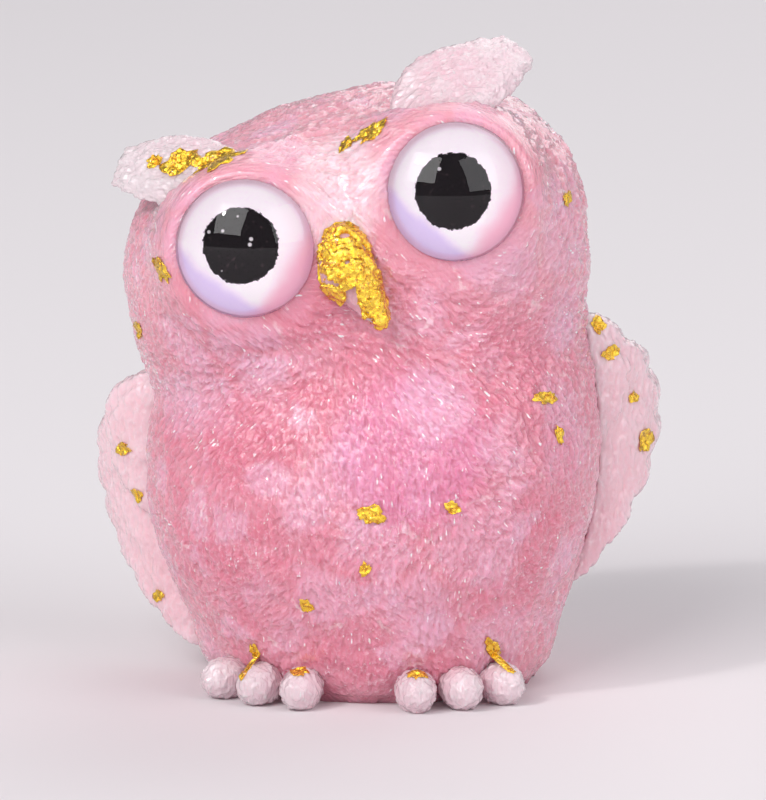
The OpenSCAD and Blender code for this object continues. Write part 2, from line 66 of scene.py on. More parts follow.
import bmesh
import bpy
import numpy as np
from bpy.props import FloatProperty, FloatVectorProperty, IntProperty, PointerProperty
from mathutils import Euler, Matrix, Vector, noise
from mathutils.bvhtree import BVHTree

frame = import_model()
BODY = "root"
MM = 0.001
SIDES = {"left": -1, "right": 1}
BOND = 0.08 * MM  # how deep the glass beds into the glue over the print
CHIP_NODES = ("belly_chips", "chest_chips", "neck_chips", "face_chips")
FILL_NODES = ("belly_fill", "chest_fill", "neck_fill", "face_fill", "crown_fill")
FLAKE_NODES = ("ear_foil", "face_foil", "belly_foil", "left_wing_foil", "right_wing_foil", "toe_foil")
TOES = [f"{side}_{place}_toe" for side in SIDES for place in ("outer", "middle", "inner")]


# ---- settings that a user would change ----


def colour_property(name, description, default):
    return FloatVectorProperty(
        name=name, description=description, default=default, subtype="COLOR", size=3, min=0, max=1
    )


def length_property(name, description, default):
    return FloatProperty(name=name, description=description, default=default, min=0, unit="LENGTH")


class OwlFurSettings(bpy.types.PropertyGroup):
    """Sizes of the hair carved in the resin"""

    stroke_length: length_property("Stroke length", "Mean length of a hair stroke", 2.9 * MM)
    stroke_width: length_property("Stroke width", "Half the width of a hair stroke", 0.4 * MM)
    stroke_height: length_property("Stroke height", "How far a stroke stands out", 0.26 * MM)
    stroke_gap: length_property("Stroke gap", "Least distance between two strokes", 0.72 * MM)
    lump_height: length_property("Lump height", "Height of the swellings in the surface", 0.36 * MM)
    seed: IntProperty(name="Seed", description="Start of the random scatter", default=7, min=0)


class OwlResinSettings(bpy.types.PropertyGroup):
    """Colours of the resin and the quartz"""

    mid: colour_property("Rose", "Main colour of the resin", (0.74, 0.27, 0.36))
    pale: colour_property("Pale rose", "Colour where the resin is thin", (0.82, 0.43, 0.50))
    deep: colour_property("Deep rose", "Colour where the resin is deep", (0.70, 0.17, 0.26))
    magenta: colour_property("Magenta", "Glow in the middle of the belly", (0.74, 0.23, 0.45))
    quartz: colour_property("Quartz", "Colour of a chip under the surface", (0.82, 0.47, 0.62))
    clear: colour_property("Clear resin", "Tint of the ears and the toes", (1.0, 0.90, 0.93))


class OwlEyeSettings(bpy.types.PropertyGroup):
    """Colours of the eyes"""

    white: colour_property("Eye white", "Main colour of the iris", (0.91, 0.84, 0.90))
    lavender: colour_property("Lavender", "Lower left of the iris", (0.62, 0.46, 0.84))
    pink: colour_property("Pink", "Right edge of the iris", (0.90, 0.36, 0.52))
    black: colour_property("Pupil", "Colour of the pupil", (0.006, 0.003, 0.005))


class OwlFoilSettings(bpy.types.PropertyGroup):
    """Look of the gold foil"""

    gold: colour_property("Gold", "Colour of the foil", (1.0, 0.66, 0.06))
    # This amber is laid in the creases of every scrap of foil, as painted shade.
    amber_crease_shade: colour_property("Amber", "Colour of the foil deep in the resin", (0.70, 0.27, 0.015))
    crumple: length_property("Crumple", "Height of the folds in the foil", 0.22 * MM)


class OwlStageSettings(bpy.types.PropertyGroup):
    """Camera, floor and light"""

    azimuth: FloatProperty(name="Azimuth", description="Camera angle towards +X, in degrees", default=6)
    elevation: FloatProperty(name="Elevation", description="Camera angle above level, in degrees", default=9)
    distance: length_property("Distance", "Camera distance from the owl", 0.45)
    view_height: length_property("View height", "Height that the picture covers at the owl", 71.7 * MM)
    floor: colour_property("Floor", "Colour of the floor", (0.74, 0.71, 0.73))


# ---- node trees ----


def add_node(tree, kind, settings=None, sockets=None):
    """Adds a node: its settings first, then the values or links of its sockets."""
    node = tree.nodes.new(kind)
    for name, value in (settings or {}).items():
        if name == "stops":
            ramp = node.color_ramp
            while len(ramp.elements) < len(value):
                ramp.elements.new(0.5)
            for element, (position, colour) in zip(ramp.elements, value):
                element.position = position
                element.color = (*colour, 1)
        else:
            setattr(node, name, value)
    for key, value in (sockets or {}).items():
        if isinstance(value, Value):
            tree.links.new(value.socket, node.inputs[key])
        elif isinstance(value, bpy.types.NodeSocket):
            tree.links.new(value, node.inputs[key])
        else:
            node.inputs[key].default_value = value
    return node


class Value:
    """A number in a node tree. Sums and products of it add the Math nodes that work them out."""

    def __init__(self, tree, socket):
        self.tree = tree
        self.socket = socket

    def math(self, operation, *terms):
        sockets = dict(enumerate(terms))
        node = add_node(self.tree, "ShaderNodeMath", {"operation": operation}, sockets)
        return Value(self.tree, node.outputs[0])

    def __add__(self, other):
        return self.math("ADD", self, other)

    def __sub__(self, other):
        return self.math("SUBTRACT", self, other)

    def __rsub__(self, other):
        return self.math("SUBTRACT", other, self)

    def __mul__(self, other):
        return self.math("MULTIPLY", self, other)

    def __truediv__(self, other):
        return self.math("DIVIDE", self, other)

    def __pow__(self, other):
        return self.math("POWER", self, other)

    __radd__ = __add__
    __rmul__ = __mul__

    def most(self, other):
        return self.math("MAXIMUM", self, other)

    def step(self, low, high):
        """0 below low, 1 above high, and smooth between them."""
        node = add_node(
            self.tree,
            "ShaderNodeMapRange",
            {"interpolation_type": "SMOOTHSTEP"},
            {"Value": self, "From Min": low, "From Max": high},
        )
        return Value(self.tree, node.outputs["Result"])


class Finish:
    """A material on a Principled shader, whose patterns read Object coordinates."""

    def __init__(self, name, **uniform):
        self.material = bpy.data.materials.new(name)
        self.material.use_nodes = True
        self.tree = self.material.node_tree
        self.tree.nodes.clear()
        self.shader = self.node("ShaderNodeBsdfPrincipled")
        self.node("ShaderNodeOutputMaterial", None, {"Surface": self.shader.outputs[0]})
        self.place = self.node("ShaderNodeTexCoord").outputs["Object"]
        for socket, value in uniform.items():
            self.shader.inputs[socket.replace("_", " ")].default_value = value

    def node(self, kind, settings=None, sockets=None):
        return add_node(self.tree, kind, settings, sockets)

    def value(self, kind, settings, sockets, output):
        return Value(self.tree, self.node(kind, settings, sockets).outputs[output])

    def noise(self, size, detail=3.0, roughness=0.55, place=None, distortion=0.0):
        """Soft noise whose swellings are about size across."""
        sockets = {"Vector": place or self.place, "Scale": 1 / size, "Detail": detail, "Roughness": roughness}
        sockets["Distortion"] = distortion
        return self.value("ShaderNodeTexNoise", None, sockets, "Fac")

    def cells(self, size, feature="F1", output="Distance", place=None):
        sockets = {"Vector": place or self.place, "Scale": 1 / size}
        return self.value("ShaderNodeTexVoronoi", {"feature": feature}, sockets, output)

    def cell_shade(self, size, place=None):
        """A random number for each cell of the pattern."""
        sockets = {"Vector": place or self.place, "Scale": 1 / size}
        colour = self.node("ShaderNodeTexVoronoi", None, sockets).outputs["Color"]
        return self.value("ShaderNodeSeparateColor", None, {"Color": colour}, "Red")

    def shifted(self, centre, stretch=(1, 1, 1), turn=(0, 0, 0)):
        """Object coordinates measured from centre, stretched or turned."""
        moved = self.node(
            "ShaderNodeVectorMath", {"operation": "SUBTRACT"}, {0: self.place, 1: tuple(centre)}
        ).outputs[0]
        return self.node(
            "ShaderNodeMapping", None, {"Vector": moved, "Rotation": turn, "Scale": stretch}
        ).outputs[0]

    def axes(self, place):
        node = self.node("ShaderNodeSeparateXYZ", None, {"Vector": place})
        return [Value(self.tree, node.outputs[i]) for i in range(3)]

    def length(self, place):
        return self.value("ShaderNodeVectorMath", {"operation": "LENGTH"}, {0: place}, "Value")

    def warped(self, size, amount):
        """Object coordinates pushed about by noise."""
        push = self.node("ShaderNodeTexNoise", None, {"Vector": self.place, "Scale": 1 / size}).outputs["Color"]
        scaled = self.node("ShaderNodeVectorMath", {"operation": "SCALE"}, {0: push, "Scale": amount}).outputs[0]
        return self.node("ShaderNodeVectorMath", {"operation": "ADD"}, {0: self.place, 1: scaled}).outputs[0]

    def mix(self, share, first, second):
        """The first colour, or socket, going over to the second."""
        pair = {6: first, 7: second}
        sockets = {0: share}
        for key, colour in pair.items():
            sockets[key] = colour if isinstance(colour, bpy.types.NodeSocket) else (*tuple(colour)[:3], 1)
        return self.node("ShaderNodeMix", {"data_type": "RGBA"}, sockets).outputs[2]

    def feed(self, **sockets):
        for name, value in sockets.items():
            socket = value.socket if isinstance(value, Value) else value
            self.tree.links.new(socket, self.shader.inputs[name.replace("_", " ")])
        return self

    def bump(self, height, distance, strength=1.0):
        """Tilts the surface by a height between 0 and 1, which stands for distance."""
        sockets = {"Height": height, "Distance": distance, "Strength": strength}
        return self.feed(Normal=self.node("ShaderNodeBump", None, sockets).outputs[0])


# ---- meshes ----


def points_of(mesh):
    flat = np.empty(len(mesh.vertices) * 3, np.float32)
    mesh.vertices.foreach_get("co", flat)
    return flat.reshape(-1, 3).astype(float)


def normals_of(mesh):
    flat = np.empty(len(mesh.vertices) * 3, np.float32)
    mesh.vertex_normals.foreach_get("vector", flat)
    return flat.reshape(-1, 3).astype(float)


def set_points(mesh, points):
    mesh.vertices.foreach_set("co", points.astype(np.float32).ravel())
    mesh.update()


def cad_points(name):
    return points_of(frame["nodes"][name].data)


def cad_middle(name):
    low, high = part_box(name)
    return np.array((low + high) / 2)


def cad_solid(*names):
    """A bmesh of CAD nodes with their loose triangles joined."""
    solid = bmesh.new()
    for name in names:
        solid.from_mesh(frame["nodes"][name].data)
    bmesh.ops.remove_doubles(solid, verts=solid.verts, dist=0.001 * MM)
    return solid


def show(name, mesh):
    obj = bpy.data.objects.new(name, mesh)
    bpy.context.scene.collection.objects.link(obj)
    return obj


def mesh_from(name, points, faces):
    mesh = bpy.data.meshes.new(name)
    mesh.from_pydata([tuple(p) for p in points], [], [tuple(int(i) for i in f) for f in faces])
    mesh.validate()
    mesh.update()
    return mesh


def finish_piece(obj, finish, slot, *nodes):
    """Gives a piece its material and smooth shading, and ties it to the frame."""
    obj.data.materials.clear()
    obj.data.materials.append(finish.material)
    obj.data.shade_smooth()
    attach(obj, BODY)
    if nodes:
        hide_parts(*nodes)
    return obj


def evaluated_mesh(obj):
    """The mesh that an object's modifiers make of it."""
    bpy.context.view_layer.update()
    graph = bpy.context.evaluated_depsgraph_get()
    return bpy.data.meshes.new_from_object(obj.evaluated_get(graph))


def remeshed(name, solid, voxel):
    """The outside of a solid as an even net of quads."""
    raw = bpy.data.meshes.new(name)
    solid.to_mesh(raw)
    solid.free()
    obj = show(name, raw)
    modifier = obj.modifiers.new("Even net", "REMESH")
    modifier.mode = "VOXEL"
    modifier.voxel_size = voxel
    mesh = evaluated_mesh(obj)
    bpy.data.objects.remove(obj)
    return mesh


def neighbour_table(mesh):
    """Each vertex's neighbours in a row, filled up with the vertex itself, and how many there are."""
    edges = np.empty(len(mesh.edges) * 2, np.int32)
    mesh.edges.foreach_get("vertices", edges)
    edges = edges.reshape(-1, 2)
    pairs = np.concatenate([edges, edges[:, ::-1]])
    pairs = pairs[np.argsort(pairs[:, 0], kind="stable")]
    count = np.bincount(pairs[:, 0], minlength=len(mesh.vertices))
    start = np.concatenate([[0], np.cumsum(count)[:-1]])
    table = np.repeat(np.arange(len(count))[:, None], count.max(), axis=1)
    table[pairs[:, 0], np.arange(len(pairs)) - start[pairs[:, 0]]] = pairs[:, 1]
    return table, count


def relaxed(points, table, count, rounds, share=0.5):
    spare = (table.shape[1] - count)[:, None]
    for _ in range(rounds):
        mean = (points[table].sum(axis=1) - spare * points) / np.maximum(count, 1)[:, None]
        points = points + share * (mean - points)
    return points


def noise_at(points, size, shift=0.0):
    """Smooth noise between about -1 and 1 at each point."""
    scaled = points / size + shift
    return np.array([noise.noise(Vector(p)) for p in scaled])


def ease(low, high, x):
    t = np.clip((x - low) / (high - low), 0, 1)
    return t * t * (3 - 2 * t)


def unit(vectors):
    return vectors / np.maximum(np.linalg.norm(vectors, axis=-1, keepdims=True), 1e-12)


def store(mesh, name, values):
    """Keeps a number or a vector for each vertex as an attribute."""
    kind = "FLOAT" if values.ndim == 1 else "FLOAT_VECTOR"
    attribute = mesh.attributes.new(name, kind, "POINT")
    attribute.data.foreach_set("value" if values.ndim == 1 else "vector", values.astype(np.float32).ravel())


# ---- places taken from the frame ----


class EyePlace:
    """Where an eye sits: its socket's floor, the way it looks, and the axes across it."""

    def __init__(self, side):
        glue = cad_points(f"{side}_eye_glue")
        self.middle = cad_middle(f"{side}_eye_glue")
        axis = np.linalg.svd(glue - self.middle, full_matrices=False)[2][2]
        self.out = axis if axis[1] < 0 else -axis
        self.right = unit(np.cross(self.out, [0, 0, 1]) * -1)
        self.up = np.cross(self.out, self.right) * -1
        self.pupil = cad_middle(f"{side}_pupil")
        self.radius = self.half_width(f"{side}_eye_dome")
        self.iris_radius = self.half_width(f"{side}_iris")
        self.pupil_radius = self.half_width(f"{side}_pupil")
        dome = (cad_points(f"{side}_eye_dome") - self.middle) @ self.out
        self.floor = dome.min() - BOND
        self.top = dome.max()

    def half_width(self, node):
        points = cad_points(node)
        return np.ptp(points @ self.up) / 2

    def local(self, points):
        """Distance right, up and out from the middle of the socket's floor."""
        offset = points - self.middle
        return offset @ self.right, offset @ self.up, offset @ self.out

    def point(self, right, up, out):
        return self.middle + right * self.right + up * self.up + out * self.out


# Ways that the fine streaks may lie: four across the front, and one from front to back.
COMB_TURNS = (
    (0, 0, 0),
    (0, math.radians(45), 0),
    (0, math.radians(90), 0),
    (0, math.radians(135), 0),
    (0, 0, math.radians(90)),
)
# Soft spots in the resin: middle and radius in millimetres, stretch, strength and colour.
SPOTS = (
    ((5, -17, 24), 8.5, (1, 0.5, 1), 0.5, "magenta"),
    ((-10, -16, 24), 5.5, (1, 0.5, 1), 0.5, "deep"),
    ((13, -14, 31), 5.5, (1, 0.5, 1), 0.5, "deep"),
    ((7, -16, 27.6), 4.0, (1, 0.5, 1.3), 0.55, "quartz"),
    ((-17, -12, 26.7), 3.8, (1, 0.5, 1), 0.5, "quartz"),
    ((-7.5, -17, 21.3), 2.8, (1, 0.5, 1.4), 0.6, "quartz"),
    ((-4, -17, 18.8), 3.0, (1, 0.5, 1.2), 0.5, "quartz"),
    ((-1.5, -16, 46.5), 5.2, (1.1, 0.5, 0.8), 0.5, "clear"),
)
EYES = {side: EyePlace(side) for side in SIDES}
FACE = (EYES["left"].middle + EYES["right"].middle) / 2
HEAD_RIGHT = unit(EYES["right"].middle - EYES["left"].middle)
BEAK_TIP = cad_points("beak")[cad_points("beak")[:, 2].argmin()]


# ---- finishes ----


def combed(finish, along, across):
    """A height of short streaks that lie along the flow of the hair."""
    flow = finish.node("ShaderNodeAttribute", {"attribute_name": "flow"}).outputs["Vector"]
    total, weights = 0.0, 0.001
    for turn in COMB_TURNS:
        axis = Euler(turn).to_matrix() @ Vector((1, 0, 0))
        sockets = {"Vector": finish.place, "Rotation": turn, "Scale": (along, across, across)}
        place = finish.node("ShaderNodeMapping", {"vector_type": "TEXTURE"}, sockets).outputs[0]
        streak = 1 - finish.cells(1, "F1", "Distance", place)
        toward = finish.value("ShaderNodeVectorMath", {"operation": "DOT_PRODUCT"}, {0: flow, 1: axis}, "Value")
        weight = (toward * toward) ** 3
        total = weight * streak + total
        weights = weight + weights
    return total / weights


def ridge_height(finish):
    return finish.value("ShaderNodeAttribute", {"attribute_name": "ridge"}, None, "Fac")


def spot(finish, place, centre, radius, stretch=(1, 1, 1)):
    """1 in the middle of a soft spot in the resin, 0 outside it; centre and radius in millimetres."""
    moved = finish.node(
        "ShaderNodeVectorMath", {"operation": "SUBTRACT"}, {0: place, 1: tuple(c * MM for c in centre)}
    ).outputs[0]
    scaled = finish.node("ShaderNodeVectorMath", {"operation": "MULTIPLY"}, {0: moved, 1: stretch}).outputs[0]
    return 1 - finish.length(scaled).step(radius * 0.55 * MM, radius * MM)


def resin_colour(finish, resin):
    """Rose resin that deepens towards the belly, with chips of quartz under the surface."""
    ragged = finish.warped(0.7 * MM, 0.9 * MM)
    belly = spot(finish, finish.place, (0, -14, 21), 27, (1, 0.7, 0.95))
    cloud = finish.noise(8 * MM, 2.0)
    colour = finish.mix(belly * 0.75 + cloud * 0.5 - 0.08, resin.pale, resin.mid)
    for size, strength in ((6.5, 0.45), (3.6, 0.5)):
        chip = finish.cell_shade(size * MM, ragged)
        seam = finish.cells(size * MM, "DISTANCE_TO_EDGE", "Distance", ragged).step(0.0, 0.16)
        colour = finish.mix((1 - chip).step(0.55, 0.8) * seam * (belly + 0.2) * 0.3, colour, resin.deep)
        colour = finish.mix(chip.step(0.66, 0.8) * seam * strength, colour, resin.quartz)
    crack = 1 - finish.cells(6.5 * MM, "DISTANCE_TO_EDGE", "Distance", ragged).step(0.01, 0.04)
    colour = finish.mix(crack * finish.noise(2.5 * MM).step(0.55, 0.65) * 0.35, colour, resin.clear)
    for centre, radius, stretch, strength, tint in SPOTS:
        there = spot(finish, ragged, centre, radius, stretch)
        colour = finish.mix(there * strength, colour, getattr(resin, tint))
    return colour


def painted_sparkle(finish, colour, share, white=(0.98, 0.80, 0.87)):
    """Fine white flecks in soft patches: painted sparkle that stands in for glints of light on the resin."""
    fleck = finish.noise(0.42 * MM, 3.0, 0.75)
    patch = finish.noise(5 * MM, 2.0).step(0.35, 0.65)
    return finish.mix(fleck.step(0.5, 0.68) * (patch * 0.7 + 0.3) * share, colour, white)


def rose_resin(resin):
    finish = Finish(
        "Rose resin",
        Subsurface_Weight=0.8,
        Subsurface_Radius=(1.0, 0.45, 0.6),
        Subsurface_Scale=1.1 * MM,
        IOR=1.5,
        Coat_Roughness=0.04,
        Coat_IOR=1.5,
    )
    ridge = ridge_height(finish)
    grain = finish.noise(0.45 * MM, 4.0, 0.75)
    comb = combed(finish, 1.8 * MM, 0.36 * MM)
    colour = resin_colour(finish, resin)
    # Deep rose between the hair strokes: painted shade in the grooves.
    colour = finish.mix((1 - ridge) * 0.2, colour, resin.deep)
    # Painted sparkle: white flecks, strongest on the ridge tops of the strokes.
    colour = painted_sparkle(finish, colour, 0.25 * ridge + 0.12)
    # Painted glints: short white streaks along the hair, mixed into the colour.
    glint = comb.step(0.66, 0.8) * finish.noise(1.4 * MM, 3.0).step(0.51, 0.6)
    colour = finish.mix(glint * 0.9, colour, (1.0, 0.94, 0.97))
    finish.feed(Base_Color=colour, Roughness=grain * 0.3 + 0.08, Coat_Weight=grain * 0.3 + 0.8)
    finish.bump(comb * 0.8 + grain * 0.4, 0.28 * MM)
    return finish


def wing_resin(resin):
    finish = Finish(
        "Wing resin",
        Subsurface_Weight=0.6,
        Subsurface_Radius=(1.0, 0.6, 0.7),
        Subsurface_Scale=2.2 * MM,
        Transmission_Weight=0.12,
        IOR=1.45,
        Coat_Roughness=0.06,
    )
    ridge = ridge_height(finish)
    grain = finish.noise(0.5 * MM, 4.0, 0.7)
    comb = combed(finish, 2.2 * MM, 0.34 * MM)
    cloud = finish.noise(4 * MM, 3.0)
    thin = finish.length(finish.shifted((0, 0, 18 * MM), (1, 0.3, 0.9))).step(18 * MM, 25 * MM)
    colour = finish.mix(cloud.step(0.3, 0.7) * 0.7, (0.92, 0.54, 0.61), resin.pale)
    colour = finish.mix(thin * 0.35, colour, resin.clear)
    # Painted sparkle: white flecks, strongest on the ridge tops of the strokes.
    colour = painted_sparkle(finish, colour, 0.5 * ridge + 0.1)
    # Painted glints: short white streaks along the hair, mixed into the colour.
    glint = comb.step(0.8, 0.95) * finish.noise(1.5 * MM, 3.0).step(0.5, 0.66)
    colour = finish.mix(glint * 0.6, colour, (1.0, 0.95, 0.97))
    finish.feed(Base_Color=colour, Roughness=grain * 0.2 + 0.12, Coat_Weight=grain * 0.4 + 0.6)
    finish.bump(comb * 0.4 + grain * 0.3, 0.16 * MM)
    return finish


def clear_resin(resin, name="Clear resin", root=None, reach=(0, 1), streak=(2.5 * MM, 0.3 * MM)):
    """Almost clear resin: rosy near its root and white away from it, with painted sparkle and painted glints."""
    finish = Finish(
        name,
        Subsurface_Weight=0.4,
        Subsurface_Radius=(1.0, 0.85, 0.9),
        Subsurface_Scale=2 * MM,
        Transmission_Weight=0.3,
        IOR=1.45,
        Coat_Roughness=0.03,
    )
    ridge = ridge_height(finish)
    grain = finish.noise(0.45 * MM, 4.0, 0.7)
    comb = combed(finish, *streak)
    patch = finish.noise(2.2 * MM).step(0.38, 0.66)
    colour = finish.mix(patch * 0.5, resin.clear, (1.0, 0.78, 0.83))
    if root is not None:
        far = finish.length(finish.shifted(root)).step(*reach)
        colour = finish.mix(far * 0.6 + 0.3, finish.mix(patch * 0.5, (0.98, 0.56, 0.66), resin.clear), colour)
    # Painted sparkle: white flecks, strongest on the ridge tops of the strokes.
    colour = painted_sparkle(finish, colour, 0.7 * ridge + 0.35, (1.0, 0.97, 0.98))
    # Painted glints: short white streaks along the hair, mixed into the colour.
    glint = comb.step(0.68, 0.88) * finish.noise(1.2 * MM, 3.0).step(0.42, 0.58)
    colour = finish.mix(glint * 0.9, colour, (1.0, 0.98, 0.99))
    finish.feed(Base_Color=colour, Roughness=grain * 0.2 + 0.05, Coat_Weight=grain * 0.3 + 0.7)
    finish.bump(comb * 0.7 + grain * 0.5, 0.2 * MM)
    return finish


def inner_resin(resin):
    finish = Finish("Inner resin", Subsurface_Weight=0.5, Subsurface_Scale=2 * MM, IOR=1.5)
    cloud = finish.noise(5 * MM, 3.0)
    finish.feed(Base_Color=finish.mix(cloud, resin.mid, resin.deep), Roughness=0.3 + cloud * 0.2)
    return finish


def rose_quartz(resin):
    finish = Finish("Rose quartz", Subsurface_Weight=0.4, Subsurface_Scale=2 * MM, IOR=1.54)
    vein = finish.noise(1.8 * MM, 5.0, 0.7, None, 1.5)
    finish.feed(Base_Color=finish.mix(vein.step(0.4, 0.65), resin.quartz, (0.94, 0.82, 0.87)))
    finish.feed(Roughness=0.2 + vein * 0.3)
    finish.bump(vein, 0.2 * MM)
    return finish


def gold_foil(foil):
    finish = Finish("Gold foil", Metallic=1.0, IOR=1.5, Coat_Roughness=0.05, Coat_Weight=0.6)
    crease = finish.noise(0.6 * MM, 5.0, 0.75)
    facet = finish.cells(0.42 * MM, "F1", "Distance", finish.warped(0.5 * MM, 0.3 * MM))
    # Amber in the low places of the crumple: painted shade in the creases of the foil.
    finish.feed(Base_Color=finish.mix(crease.step(0.36, 0.52), foil.amber_crease_shade, foil.gold))
    finish.feed(Roughness=crease * 0.3 + 0.12)
    finish.bump(crease * 0.6 + facet * 0.7, 0.22 * MM)
    return finish


def iris_print(name, eye, colours):
    """White print with lavender below on the left and pink on the right."""
    # The print glows faintly in its own colour: painted light that makes up for the light the glass dome keeps from it.
    finish = Finish(f"{name} iris print", IOR=1.1, Emission_Strength=0.22)
    matrix = Matrix((eye.right, eye.up, eye.out)).to_euler()
    across, rise, _ = finish.axes(finish.shifted(eye.middle, (1, 1, 1), tuple(matrix)))
    u = across / eye.iris_radius
    v = rise / eye.iris_radius
    wobble = finish.noise(3 * MM, 2.0) * 0.3 - 0.15
    grain = finish.noise(0.3 * MM, 4.0, 0.7)
    lower_left = (v * -0.85 - u * 0.6 + wobble).step(0.5, 0.72)
    corner = (u * 0.85 - v * 0.5 + wobble).step(0.45, 0.85)
    right = u.step(0.3, 1.1)
    reach = u * u + v * v
    colour = finish.mix(grain.step(0.45, 0.7) * 0.35, colours.white, (0.80, 0.74, 0.86))
    colour = finish.mix(right * 0.5, colour, (0.95, 0.62, 0.74))
    colour = finish.mix(lower_left * 0.7, colour, colours.lavender)
    colour = finish.mix(corner * 0.8, colour, colours.pink)
    colour = finish.mix(reach.step(0.72, 1.0) * 0.45, colour, (0.70, 0.36, 0.52))
    off = finish.length(finish.shifted(eye.pupil)) / MM
    ragged = off + finish.noise(0.5 * MM, 3.0, 0.8) * 0.7 - 0.35
    torn = 1 - ragged.step(eye.pupil_radius / MM + 0.06, eye.pupil_radius / MM + 0.13)
    colour = finish.mix(torn, colour, colours.black)
    # Emission Color carries that painted glow.
    finish.feed(Base_Color=colour, Emission_Color=colour, Roughness=grain * 0.2 + 0.3)
    return finish


def pupil_paint(colours):
    finish = Finish("Pupil paint", IOR=1.1)
    speck = finish.noise(0.4 * MM, 3.0)
    # Light dots on the black: small bubbles in the paint, painted light as the highlights they catch.
    bubble_highlight = 1 - finish.cells(1.3 * MM).step(0.09, 0.13)
    colour = finish.mix(speck.step(0.62, 0.75) * 0.3, colours.black, (0.10, 0.05, 0.06))
    finish.feed(Base_Color=finish.mix(bubble_highlight * 0.8, colour, (0.85, 0.8, 0.85)))
    finish.feed(Roughness=0.15 + speck * 0.2)
    return finish


def eye_glass():
    finish = Finish("Eye glass", Base_Color=(1, 1, 1, 1), Transmission_Weight=1.0, IOR=1.42)
    smear = finish.noise(3 * MM, 2.0)
    finish.feed(Roughness=smear.step(0.6, 1.0) * 0.03)
    return finish


def beak_resin(resin):
    finish = Finish(
        "Beak resin",
        Subsurface_Weight=0.5,
        Subsurface_Radius=(1.0, 0.6, 0.6),
        Subsurface_Scale=1.2 * MM,
        Transmission_Weight=0.2,
        IOR=1.45,
        Coat_Roughness=0.03,
        Coat_Weight=1.0,
    )
    grain = finish.noise(0.5 * MM, 3.0, 0.7)
    x, y, z = finish.axes(finish.shifted(BEAK_TIP))
    tip = 1 - z.step(0.2 * MM, 1.6 * MM)
    colour = finish.mix(tip * 0.8, resin.pale, resin.clear)
    # The white flecks over the beak resin are painted sparkle.
    finish.feed(Base_Color=painted_sparkle(finish, colour, 0.4), Roughness=grain * 0.2 + 0.08)
    finish.bump(grain, 0.1 * MM)
    return finish


def clear_glue():
    finish = Finish("Clear glue", Transmission_Weight=0.9, IOR=1.45)
    blob = finish.noise(1 * MM)
    finish.feed(Base_Color=finish.mix(blob, (0.95, 0.85, 0.88), (0.98, 0.93, 0.95)), Roughness=0.1 + blob * 0.1)
    return finish


# ---- the body ----


def ball_net(cells):
    """Directions and quads of a cube's net blown up to a ball."""
    step = np.tan(np.linspace(-math.pi / 4, math.pi / 4, cells + 1))
    a, b = np.meshgrid(step, step, indexing="ij")
    flat = [g.ravel() for g in (a, b, np.ones_like(a))]
    corners, quads = [], []
    i = np.arange(cells)
    first = (i[:, None] * (cells + 1) + i[None, :]).ravel()
    quad = np.stack([first, first + cells + 1, first + cells + 2, first + 1], axis=1)
    for order in ((0, 1, 2), (2, 0, 1), (1, 2, 0)):
        for sign in (-1, 1):
            quads.append((quad if sign > 0 else quad[:, ::-1]) + len(corners) * len(flat[0]))
            side = (flat[0], flat[1], sign * flat[2])
            corners.append(np.stack([side[k] for k in order], axis=1))
    points = np.concatenate(corners)
    welded, index = np.unique(np.round(points, 6), axis=0, return_inverse=True)
    return unit(welded), index.ravel()[np.concatenate(quads)]


def body_net(cells=127, crowd=0.28):
    """The outside of the skin as a net from the middle of the owl, closer on the face and the belly."""
    solid = cad_solid("owl_skin", "base_plug")
    tree = BVHTree.FromBMesh(solid)
    solid.free()
    low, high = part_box("owl_skin")
    middle = np.array([0, 0, (low.z + high.z) / 2])
    directions, quads = ball_net(cells)
    directions = unit(directions + [0, -crowd, 0])
    far = (high - low).length
    points = np.empty_like(directions)
    for i, d in enumerate(directions):
        hit = tree.ray_cast(Vector(middle + d * far), Vector(-d))[0]
        points[i] = hit
    return mesh_from("owl_body", points, quads)


def seat_eyes(points):
    """Presses a flat seat for each eye, with a soft lip of resin that meets its glass."""
    for eye in EYES.values():
        right, up, out = eye.local(points)
        radius = np.hypot(right, up)
        near = np.abs(out) < eye.radius
        lip = (1 - ease(eye.radius + 0.3 * MM, eye.radius + 4 * MM, radius)) * near
        rise = np.maximum(1.15 * MM - out, 0) * lip
        points = points + rise[:, None] * eye.out
        inside = near & (radius < eye.radius - 0.2 * MM)
        sink = np.where(inside, -0.06 * MM - (out + rise), 0)
        points = points + sink[:, None] * eye.out
    return points


def flow_at(points, normals):
    """The way the hair lies: round the eyes on the head, and down and outwards on the body."""
    collar = BEAK_TIP[2] - 3 * MM
    head = ease(collar - 3 * MM, collar + 3 * MM, points[:, 2])[:, None]
    away = 0.15 * unit(points - FACE)
    for eye in EYES.values():
        offset = points - eye.middle
        distance = np.linalg.norm(offset, axis=1, keepdims=True)
        around = np.cross(eye.out, offset / distance)
        away += (offset / distance + 2 * around) * np.exp(-distance / (7 * MM))
    swirl = 0.7 * noise_at(points, 5 * MM, 2)[:, None] * np.cross(normals, unit(away))
    away = unit(away) + swirl
    chest = np.array([0.0, BEAK_TIP[1], collar + 3 * MM])
    fall = unit(points - chest) + np.array([0, 0, -0.35])
    wild = 1 - 0.6 * ease(12 * MM, 28 * MM, points[:, 2])[:, None]
    fall += 1.3 * wild * noise_at(points, 6 * MM)[:, None] * np.cross(normals, fall)
    flow = head * unit(away) + (1 - head) * unit(fall)
    flow -= (flow * normals).sum(1, keepdims=True) * normals
    return unit(flow)


def fur_density(points):
    """1 where hair strokes lie, 0 under the eyes and at the base."""
    density = ease(0.3 * MM, 1.2 * MM, points[:, 2])
    for eye in EYES.values():
        right, up, out = eye.local(points)
        clear = ease(eye.radius + 0.8 * MM, eye.radius + 2.6 * MM, np.hypot(right, up))
        density *= np.where(np.abs(out) < eye.radius, clear, 1)
    return density


